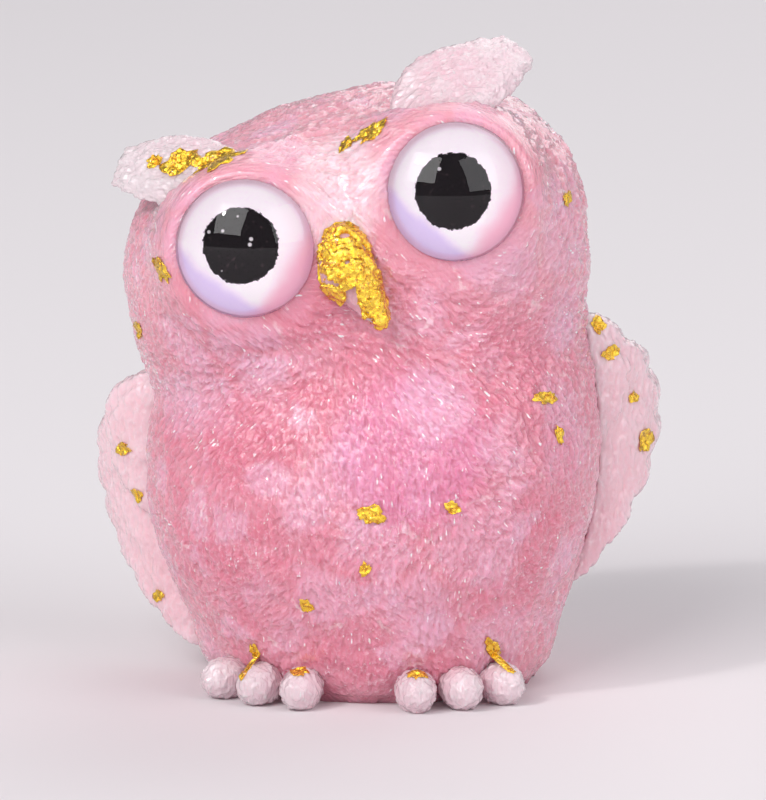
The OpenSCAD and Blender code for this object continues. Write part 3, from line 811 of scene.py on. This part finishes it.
def shape_body(mesh, lump):
    flat = points_of(mesh)
    on_base = flat[:, 2] < 0.05 * MM
    table, count = neighbour_table(mesh)
    points = relaxed(flat, table, count, 60)
    points = seat_eyes(points)
    set_points(mesh, points)
    normals = normals_of(mesh)
    swell = 0.6 * noise_at(points, 3.4 * MM) + 0.35 * noise_at(points, 1.5 * MM, 5)
    swell += 0.3 * noise_at(points, 0.8 * MM, 9)
    calm = fur_density(points)
    cheek = ease(14 * MM, 18 * MM, points[:, 0]) * ease(30 * MM, 34 * MM, points[:, 2])
    scallop = np.abs(noise_at(points, 1.7 * MM, 3)) * 1.6 * cheek
    points = points + ((swell + scallop) * calm * lump)[:, None] * normals
    points[:, 2] = np.where(on_base, 0, np.maximum(points[:, 2], 0))
    set_points(mesh, points)
    comb_hair(mesh, flow_at(points, normals_of(mesh)), fur_density(points))


# ---- hair ----


def comb_hair(mesh, flow, density):
    """Keeps the way that the hair lies, and how much there is, on a mesh."""
    store(mesh, "flow", flow)
    store(mesh, "fur", density)


def stroke_line(bend=0.35, last=8):
    """One bent stroke, one unit long, that knows how full it is along its length."""
    shares = np.arange(last + 1) / last
    points = np.stack([shares - 0.5, bend * (0.5 - 4 * (shares - 0.5) ** 2), 0 * shares], axis=1)
    mesh = bpy.data.meshes.new("stroke")
    mesh.from_pydata([tuple(p) for p in points], [(k, k + 1) for k in range(last)], [])
    store(mesh, "fullness", np.sin(math.pi * (0.06 + 0.88 * shares)))
    return show("stroke", mesh)


def tree_input(tree, name, kind):
    return tree.interface.new_socket(name, in_out="INPUT", socket_type=kind).identifier


def relief_tree():
    """Geometry nodes that strew strokes over a surface, along its flow, and raise it under each."""
    tree = bpy.data.node_groups.new("Carved hair", "GeometryNodeTree")
    names = {"Surface": tree_input(tree, "Surface", "NodeSocketGeometry")}
    for name in ("Gap", "Length", "Width", "Height", "Stray"):
        names[name] = tree_input(tree, name, "NodeSocketFloat")
    names["Seed"] = tree_input(tree, "Seed", "NodeSocketInt")
    names["Stroke"] = tree_input(tree, "Stroke", "NodeSocketObject")
    names["Material"] = tree_input(tree, "Material", "NodeSocketMaterial")
    tree.interface.new_socket("Carved", in_out="OUTPUT", socket_type="NodeSocketGeometry")
    given = {key: Value(tree, socket) for key, socket in add_node(tree, "NodeGroupInput").outputs.items() if key}

    def node(kind, settings=None, sockets=None):
        return add_node(tree, kind, settings, sockets).outputs

    def attribute(name, kind):
        return node("GeometryNodeInputNamedAttribute", {"data_type": kind}, {"Name": name})[0]

    def random(low, high, seed):
        sockets = {2: low, 3: high, "Seed": seed}
        return Value(tree, node("FunctionNodeRandomValue", {"data_type": "FLOAT"}, sockets)[1])

    scatter = node(
        "GeometryNodeDistributePointsOnFaces",
        {"distribute_method": "POISSON"},
        {
            "Mesh": given["Surface"],
            "Distance Min": given["Gap"],
            "Density Max": 6e6,
            "Density Factor": attribute("fur", "FLOAT"),
            "Seed": given["Seed"],
        },
    )
    along = node("FunctionNodeAlignRotationToVector", {"axis": "X"}, {"Vector": attribute("flow", "FLOAT_VECTOR")})
    level = node(
        "FunctionNodeAlignRotationToVector",
        {"axis": "Z", "pivot_axis": "X"},
        {"Rotation": along[0], "Vector": scatter["Normal"]},
    )
    flip = random(0.0, 1.0, 2).math("ROUND") * math.pi
    stray = random(given["Stray"] * -1, given["Stray"], 3)
    turn = node("ShaderNodeCombineXYZ", None, {"X": flip, "Z": stray})[0]
    turned = node("FunctionNodeRotateRotation", {"rotation_space": "LOCAL"}, {0: level[0], 1: turn})[0]
    long = given["Length"] * random(0.5, 1.5, 5)
    scale = node("ShaderNodeCombineXYZ", None, {"X": long, "Y": long, "Z": 1.0})[0]
    info = node("GeometryNodeObjectInfo", None, {"Object": given["Stroke"], "As Instance": True})
    sockets = {"Points": scatter["Points"], "Instance": info["Geometry"], "Rotation": turned, "Scale": scale}
    strokes = node("GeometryNodeRealizeInstances", None, {0: node("GeometryNodeInstanceOnPoints", None, sockets)[0]})
    near = node("GeometryNodeProximity", {"target_element": "EDGES"}, {0: strokes[0]})
    nearest = node("GeometryNodeSampleNearest", {"domain": "POINT"}, {0: strokes[0]})[0]
    sockets = {0: strokes[0], 1: attribute("fullness", "FLOAT"), "Index": nearest}
    full = Value(tree, node("GeometryNodeSampleIndex", {"data_type": "FLOAT", "domain": "POINT"}, sockets)[0])
    width = given["Width"] * (full * 0.6 + 0.4)
    ridge = (1 - (Value(tree, near["Distance"]) / width).step(0.0, 1.0)) * full
    ridge = ridge * Value(tree, attribute("fur", "FLOAT"))
    rise = node(
        "ShaderNodeVectorMath",
        {"operation": "SCALE"},
        {0: node("GeometryNodeInputNormal")["Normal"], "Scale": ridge * given["Height"]},
    )[0]
    known = node(
        "GeometryNodeStoreNamedAttribute",
        {"data_type": "FLOAT", "domain": "POINT"},
        {"Geometry": given["Surface"], "Name": "ridge", "Value": ridge},
    )[0]
    raised = node("GeometryNodeSetPosition", None, {"Geometry": known, "Offset": rise})[0]
    real = node("GeometryNodeRealizeInstances", None, {0: raised})[0]
    painted = node("GeometryNodeSetMaterial", None, {"Geometry": real, "Material": given["Material"]})[0]
    add_node(tree, "NodeGroupOutput", None, {0: painted})
    return tree, names


def carve_hair(mesh, finish, seed, gap, length, width, height, stray=0.45):
    """The mesh with a raised hair stroke wherever the tree lays one."""
    tree, names = relief_tree()
    stroke = stroke_line()
    carrier = show("carrier", mesh)
    modifier = carrier.modifiers.new("Carved hair", "NODES")
    modifier.node_group = tree
    settings = {
        "Gap": gap,
        "Length": length,
        "Width": width,
        "Height": height,
        "Stray": stray,
        "Seed": seed,
        "Stroke": stroke,
        "Material": finish.material,
    }
    for key, value in settings.items():
        modifier[names[key]] = value
    carved = evaluated_mesh(carrier)
    carrier.modifiers.remove(modifier)
    bpy.data.objects.remove(carrier)
    bpy.data.objects.remove(stroke)
    points = points_of(carved)
    points[:, 2] = np.maximum(points[:, 2], 0)
    set_points(carved, points)
    return carved


# ---- clear pieces ----


def resin_piece(name, node, voxel, rounds, swell, size, flow=(0, 0, -1)):
    """A CAD piece as hand-poured resin: even net, softened edges and an uneven surface."""
    mesh = remeshed(name, cad_solid(node), voxel)
    table, count = neighbour_table(mesh)
    points = relaxed(points_of(mesh), table, count, rounds)
    set_points(mesh, points)
    bumps = noise_at(points, size) + 0.5 * noise_at(points, size / 2.3, 3)
    points = points + (swell * bumps)[:, None] * normals_of(mesh)
    points[:, 2] = np.maximum(points[:, 2], 0)
    set_points(mesh, points)
    normals = normals_of(mesh)
    way = np.broadcast_to(np.asarray(flow, float), points.shape)
    way = way - (way * normals).sum(1, keepdims=True) * normals
    comb_hair(mesh, unit(way), np.ones(len(points)))
    return mesh


# ---- foil ----


def islands(node):
    """The separate scraps of a foil node, each as its points."""
    solid = cad_solid(node)
    left = set(solid.verts)
    found = []
    while left:
        stack = [left.pop()]
        group = list(stack)
        while stack:
            for edge in stack.pop().link_edges:
                for vertex in edge.verts:
                    if vertex in left:
                        left.discard(vertex)
                        stack.append(vertex)
                        group.append(vertex)
        found.append(np.array([v.co for v in group]))
    solid.free()
    return sorted(found, key=lambda points: tuple(points.mean(0)))


def crumpled_scrap(points, surface, crumple, seed, cells=12, spread=1.25):
    """A torn, creased scrap of foil that lies on the surface where a CAD flake lies."""
    middle = points.mean(0)
    axes = np.linalg.svd(points - middle, full_matrices=False)[2]
    half = [np.ptp((points - middle) @ axis) / 2 for axis in axes]
    out = axes[2] if axes[2] @ (middle - np.array([0, 0, 0.5 * middle[2]])) > 0 else -axes[2]
    corner = Vector(np.random.default_rng(seed).uniform(0, 100, 3))
    crumple = min(crumple, 0.13 * half[0])
    turns = 2 * cells
    ring, net = [], []
    for i in range(cells):
        for j in range(turns):
            angle = math.tau * j / turns
            way = Vector((math.cos(angle), math.sin(angle), 0))
            torn = 1 + 0.4 * noise.noise(way * 1.6 + corner) + 0.4 * noise.noise(way * 4.5 + corner)
            share = (i + 0.4) / cells * torn * spread
            p = middle + share * (way.x * half[0] * axes[0] + way.y * half[1] * axes[1])
            hit, normal = surface.ray_cast(Vector(p + out * 4 * MM), Vector(-out), 8 * MM)[:2]
            if hit is not None:
                p = np.array(hit)
            fold = abs(noise.noise(Vector(p / (0.6 * MM)) + corner)) * 1.6 + 0.5 * noise.noise(Vector(p / (0.25 * MM)))
            ring.append(p + out * (crumple * fold + 0.05 * MM))
    for i in range(cells - 1):
        for j in range(turns):
            k = (j + 1) % turns
            a, b = i * turns, (i + 1) * turns
            net.append((a + j, b + j, b + k, a + k))
    net.append(tuple(range(turns - 1, -1, -1)))
    return ring, net


def resin_surface():
    """The surface of every visible piece of resin."""
    solid = bmesh.new()
    for obj in bpy.context.scene.objects:
        if obj.name == "owl_body" or obj.name.endswith("_resin"):
            solid.from_mesh(obj.data)
    tree = BVHTree.FromBMesh(solid)
    solid.free()
    return tree


def thickened(mesh, depth):
    """A sheet with a back, so that it is a closed piece."""
    obj = show("sheet", mesh)
    modifier = obj.modifiers.new("Depth", "SOLIDIFY")
    modifier.thickness = depth
    modifier.offset = 0
    made = evaluated_mesh(obj)
    bpy.data.objects.remove(obj)
    return made


# ---- eyes ----


def lathe(eye, profile, turns=96):
    """A round piece on an eye's axis from a profile of (radius, height), which starts and ends on the axis."""
    points, faces = [eye.point(0, 0, profile[0][1])], []
    for radius, height in profile[1:-1]:
        for k in range(turns):
            angle = math.tau * k / turns
            points.append(eye.point(radius * math.cos(angle), radius * math.sin(angle), height))
    points.append(eye.point(0, 0, profile[-1][1]))
    rings = len(profile) - 2
    for k in range(turns):
        n = (k + 1) % turns
        faces.append((0, 1 + k, 1 + n))
        last = 1 + (rings - 1) * turns
        faces.append((len(points) - 1, last + n, last + k))
        for r in range(rings - 1):
            a, b = 1 + r * turns, 1 + (r + 1) * turns
            faces.append((a + k, b + k, b + n, a + n))
    return points, faces


def outward(mesh):
    """Turns every face of a closed mesh outwards."""
    solid = bmesh.new()
    solid.from_mesh(mesh)
    bmesh.ops.remove_doubles(solid, verts=solid.verts, dist=0.0005 * MM)
    bmesh.ops.recalc_face_normals(solid, faces=solid.faces)
    solid.to_mesh(mesh)
    solid.free()
    mesh.update()
    return mesh


def dome_profile(eye, edge=0.9 * MM, rings=22):
    """Flat back, straight edge with a small chamfer, and a round top."""
    base, top, radius = eye.floor, eye.top, eye.radius
    rise = top - base - edge
    ball = (radius**2 + rise**2) / (2 * rise)
    reach = math.asin(min(radius / ball, 1))
    profile = [(0, base), (radius * 0.5, base), (radius - 0.12 * MM, base), (radius, base + 0.12 * MM)]
    profile += [(radius, base + edge * 0.5)]
    for k in range(rings):
        angle = reach * (1 - k / rings)
        profile.append((ball * math.sin(angle), top - ball + ball * math.cos(angle)))
    return profile + [(0, top)]


# ---- operators ----


class OWL_OT_body(bpy.types.Operator):
    """Make the resin body with its carved hair"""

    bl_idname = "owl.body"
    bl_label = "Body"

    def execute(self, context):
        fur = context.scene.owl_fur
        finish = rose_resin(context.scene.owl_resin)
        mesh = body_net()
        shape_body(mesh, fur.lump_height)
        mesh = carve_hair(
            mesh,
            finish,
            fur.seed,
            fur.stroke_gap,
            fur.stroke_length,
            fur.stroke_width,
            fur.stroke_height,
        )
        finish_piece(show("owl_body", mesh), finish, "rose_resin", "owl_skin", "base_plug")
        return {"FINISHED"}


class OWL_OT_gravel(bpy.types.Operator):
    """Finish the pours of resin and the quartz chips inside the body"""

    bl_idname = "owl.gravel"
    bl_label = "Gravel"

    def execute(self, context):
        resin = context.scene.owl_resin
        for nodes, finish in ((FILL_NODES, inner_resin(resin)), (CHIP_NODES, rose_quartz(resin))):
            for name in nodes:
                mesh = frame["nodes"][name].data
                mesh.materials.clear()
                mesh.materials.append(finish.material)
        return {"FINISHED"}


class OWL_OT_wings(bpy.types.Operator):
    """Make the wings and the tail with their carved feathers"""

    bl_idname = "owl.wings"
    bl_label = "Wings and tail"

    def execute(self, context):
        seed = context.scene.owl_fur.seed
        finish = wing_resin(context.scene.owl_resin)
        flows = {"left_wing": (-0.25, 0.1, -1), "right_wing": (-0.5, 0.3, -1), "tail": (0, 0.1, -1)}
        for name, flow in flows.items():
            mesh = resin_piece(name + "_resin", name, 0.24 * MM, 5, 0.16 * MM, 1.6 * MM, flow)
            mesh = carve_hair(mesh, finish, seed, 0.8 * MM, 3.4 * MM, 0.36 * MM, 0.18 * MM, 0.3)
            finish_piece(show(name + "_resin", mesh), finish, "clear_resin", name)
        return {"FINISHED"}


class OWL_OT_ears(bpy.types.Operator):
    """Make the clear ear tufts"""

    bl_idname = "owl.ears"
    bl_label = "Ear tufts"

    def execute(self, context):
        seed = context.scene.owl_fur.seed
        crown = (FACE + np.array([0, 16 * MM, 0])).tolist()
        reach = (16 * MM, 25 * MM)
        finish = clear_resin(context.scene.owl_resin, "Ear resin", crown, reach, (4 * MM, 0.28 * MM))
        for side, sign in SIDES.items():
            node = f"{side}_ear_tuft"
            flow = sign * HEAD_RIGHT + np.array([0, 0.5, 0.35])
            mesh = resin_piece(node + "_resin", node, 0.17 * MM, 4, 0.16 * MM, 1.2 * MM, flow)
            mesh = carve_hair(mesh, finish, seed, 0.7 * MM, 4.5 * MM, 0.32 * MM, 0.2 * MM, 0.12)
            finish_piece(show(node + "_resin", mesh), finish, "clear_resin", node)
        return {"FINISHED"}


class OWL_OT_toes(bpy.types.Operator):
    """Make the six toes"""

    bl_idname = "owl.toes"
    bl_label = "Toes"

    def execute(self, context):
        seed = context.scene.owl_fur.seed
        finish = clear_resin(context.scene.owl_resin, "Toe resin", (0, 0, 0), (15 * MM, 22 * MM), (1.6 * MM, 0.24 * MM))
        for node in TOES:
            mesh = resin_piece(node + "_resin", node, 0.14 * MM, 6, 0.06 * MM, 1.0 * MM)
            mesh = carve_hair(mesh, finish, seed, 0.7 * MM, 1.4 * MM, 0.28 * MM, 0.16 * MM, 1.5)
            finish_piece(show(node + "_resin", mesh), finish, "clear_resin", node)
        return {"FINISHED"}


# Scraps of foil on the beak, from its tip, in millimetres: middle across and up, half sizes and lean.
BEAK_SCRAPS = (
    ((-3.0, 6.6), (2.7, 3.4), 0.1),
    ((-0.5, 3.1), (1.55, 3.5), 0.3),
    ((-4.0, 2.9), (1.25, 0.75), -0.5),
)


def foil_cover(points):
    """1 where foil lies on the beak, 0 where the resin shows."""
    ragged = 0.3 * noise_at(points, 0.9 * MM, 2) + 0.2 * noise_at(points, 0.4 * MM, 8)
    cover = np.zeros(len(points))
    across, up = (points[:, 0] - BEAK_TIP[0]) / MM, (points[:, 2] - BEAK_TIP[2]) / MM
    for middle, half, lean in BEAK_SCRAPS:
        x, z = across - middle[0], up - middle[1]
        u = (x * math.cos(lean) + z * math.sin(lean)) / half[0]
        v = (z * math.cos(lean) - x * math.sin(lean)) / half[1]
        cover = np.maximum(cover, 1 - ease(0.92, 1.02, np.hypot(u, v) + ragged))
    holes = ease(0.36, 0.46, noise_at(points, 1.3 * MM, 6))
    return cover * (1 - holes)


class OWL_OT_beak(bpy.types.Operator):
    """Make the beak and the crumpled foil over it"""

    bl_idname = "owl.beak"
    bl_label = "Beak"

    def execute(self, context):
        foil = context.scene.owl_foil
        finish = beak_resin(context.scene.owl_resin)
        mesh = resin_piece("beak_resin", "beak", 0.16 * MM, 4, 0.06 * MM, 1 * MM)
        mesh = carve_hair(mesh, finish, 1, 0.8 * MM, 1.5 * MM, 0.3 * MM, 0.1 * MM)
        finish_piece(show("beak_resin", mesh), finish, "clear_resin", "beak")
        shell = remeshed("beak_gold", cad_solid("beak", "beak_foil"), 0.1 * MM)
        points = points_of(shell)
        fold = np.abs(noise_at(points, 0.9 * MM)) * 1.9 - 0.1 + 0.5 * noise_at(points, 0.35 * MM, 4)
        cover = foil_cover(points)
        out = (fold * foil.crumple + 0.1 * MM) * cover - 0.9 * MM * (1 - cover)
        set_points(shell, points + out[:, None] * normals_of(shell))
        finish_piece(show("beak_gold", shell), gold_foil(foil), "gold_foil", "beak_foil")
        return {"FINISHED"}


class OWL_OT_foil(bpy.types.Operator):
    """Lay the scraps of gold foil"""

    bl_idname = "owl.foil"
    bl_label = "Gold foil"

    def execute(self, context):
        foil = context.scene.owl_foil
        finish = gold_foil(foil)
        surface = resin_surface()
        for node in FLAKE_NODES:
            points, faces = [], []
            for seed, scrap in enumerate(islands(node)):
                ring, net = crumpled_scrap(scrap, surface, foil.crumple, seed + len(node))
                faces += [tuple(i + len(points) for i in face) for face in net]
                points += ring
            mesh = thickened(mesh_from(node + "_leaf", points, faces), 0.05 * MM)
            finish_piece(show(node + "_leaf", mesh), finish, "gold_foil", node)
        return {"FINISHED"}


class OWL_OT_eyes(bpy.types.Operator):
    """Make the glass eyes with their printed irises and black pupils"""

    bl_idname = "owl.eyes"
    bl_label = "Eyes"

    def execute(self, context):
        colours = context.scene.owl_eyes
        glass, glue, paint = eye_glass(), clear_glue(), pupil_paint(colours)
        for side, eye in EYES.items():
            points, faces = lathe(eye, dome_profile(eye))
            mesh = outward(mesh_from(f"{side}_eye_glass", points, faces))
            finish_piece(show(f"{side}_eye_glass", mesh), glass, "eye_glass", f"{side}_eye_dome")
            for node, finish in (
                (f"{side}_iris", iris_print(side.capitalize(), eye, colours)),
                (f"{side}_pupil", paint),
                (f"{side}_eye_glue", glue),
            ):
                cad = frame["nodes"][node].data
                cad.materials.clear()
                cad.materials.append(finish.material)
        return {"FINISHED"}


def area_light(name, place, target, size, power, colour=(1, 1, 1)):
    light = bpy.data.lights.new(name, "AREA")
    light.shape = "SQUARE"
    light.size = size
    light.energy = power
    light.color = colour
    obj = bpy.data.objects.new(name, light)
    obj.location = place
    obj.rotation_euler = (Vector(target) - Vector(place)).to_track_quat("-Z", "Y").to_euler()
    bpy.context.scene.collection.objects.link(obj)


class OWL_OT_stage(bpy.types.Operator):
    """Set the floor, the light and the camera"""

    bl_idname = "owl.stage"
    bl_label = "Stage"

    def execute(self, context):
        stage = context.scene.owl_stage
        self.lay_floor(stage)
        self.light(context)
        self.place_camera(context, stage)
        return {"FINISHED"}

    def lay_floor(self, stage):
        bpy.ops.mesh.primitive_circle_add(vertices=96, radius=1.6, fill_type="NGON")
        floor = bpy.context.object
        floor.name = "floor"
        finish = Finish("Floor", Roughness=0.75, IOR=1.3)
        cloud = finish.noise(60 * MM, 2.0)
        finish.feed(Base_Color=finish.mix(cloud * 0.1, tuple(stage.floor), (0.72, 0.68, 0.71)))
        floor.data.materials.append(finish.material)

    def light(self, context):
        world = bpy.data.worlds.new("Soft white room")
        world.use_nodes = True
        sky = world.node_tree.nodes["Background"]
        sky.inputs["Color"].default_value = (0.93, 0.93, 0.96, 1)
        seen = add_node(world.node_tree, "ShaderNodeLightPath").outputs["Is Camera Ray"]
        strength = Value(world.node_tree, seen) * 0.46 + 0.34
        world.node_tree.links.new(strength.socket, sky.inputs["Strength"])
        context.scene.world = world
        middle = (0, 0, 0.03)
        area_light("Window", (-0.8, -1.5, 1.2), middle, 1.4, 27, (1, 0.99, 0.99))
        area_light("Spark", (-1.1, -1.25, 1.45), middle, 0.16, 10, (1, 0.98, 0.97))
        area_light("Fill", (1.5, -0.9, 0.9), middle, 1.6, 18, (0.98, 0.98, 1))
        area_light("Back glow", (0.5, 1.35, 1.2), middle, 1.8, 13, (1, 0.98, 0.98))
        context.scene.view_settings.view_transform = "Standard"
        context.scene.cycles.use_denoising = True

    def place_camera(self, context, stage):
        azimuth, elevation = math.radians(stage.azimuth), math.radians(stage.elevation)
        target = Vector((0.26 * MM, -0.73 * MM, 25.26 * MM))
        out = Vector(
            (
                math.sin(azimuth) * math.cos(elevation),
                -math.cos(azimuth) * math.cos(elevation),
                math.sin(elevation),
            )
        )
        data = bpy.data.cameras.new("Camera")
        data.clip_start = 0.01
        data.sensor_width = 36
        data.lens = data.sensor_width * stage.distance / stage.view_height
        camera = bpy.data.objects.new("Camera", data)
        camera.location = target + out * stage.distance
        camera.rotation_euler = (-out).to_track_quat("-Z", "Y").to_euler()
        context.scene.collection.objects.link(camera)
        context.scene.camera = camera


OPERATORS = (
    OWL_OT_body,
    OWL_OT_gravel,
    OWL_OT_wings,
    OWL_OT_ears,
    OWL_OT_toes,
    OWL_OT_beak,
    OWL_OT_foil,
    OWL_OT_eyes,
    OWL_OT_stage,
)
SETTINGS = {
    "owl_fur": OwlFurSettings,
    "owl_resin": OwlResinSettings,
    "owl_eyes": OwlEyeSettings,
    "owl_foil": OwlFoilSettings,
    "owl_stage": OwlStageSettings,
}


class OWL_PT_panel(bpy.types.Panel):
    """Lists the owl's pieces and settings"""

    bl_label = "Owl"
    bl_idname = "OWL_PT_panel"
    bl_space_type = "VIEW_3D"
    bl_region_type = "UI"
    bl_category = "Owl"

    def draw(self, context):
        for operator in OPERATORS:
            self.layout.operator(operator.bl_idname)
        for name, group in SETTINGS.items():
            box = self.layout.box()
            box.label(text=group.__doc__)
            for key in group.__annotations__:
                box.prop(getattr(context.scene, name), key)


def register():
    for cls in (*SETTINGS.values(), *OPERATORS, OWL_PT_panel):
        bpy.utils.register_class(cls)
    for name, group in SETTINGS.items():
        setattr(bpy.types.Scene, name, PointerProperty(type=group))


def unregister():
    for name in SETTINGS:
        delattr(bpy.types.Scene, name)
    for cls in reversed((*SETTINGS.values(), *OPERATORS, OWL_PT_panel)):
        bpy.utils.unregister_class(cls)


def main():
    register()
    for operator in OPERATORS:
        group, name = operator.bl_idname.split(".")
        getattr(getattr(bpy.ops, group), name)()


if __name__ == "__main__":
    main()
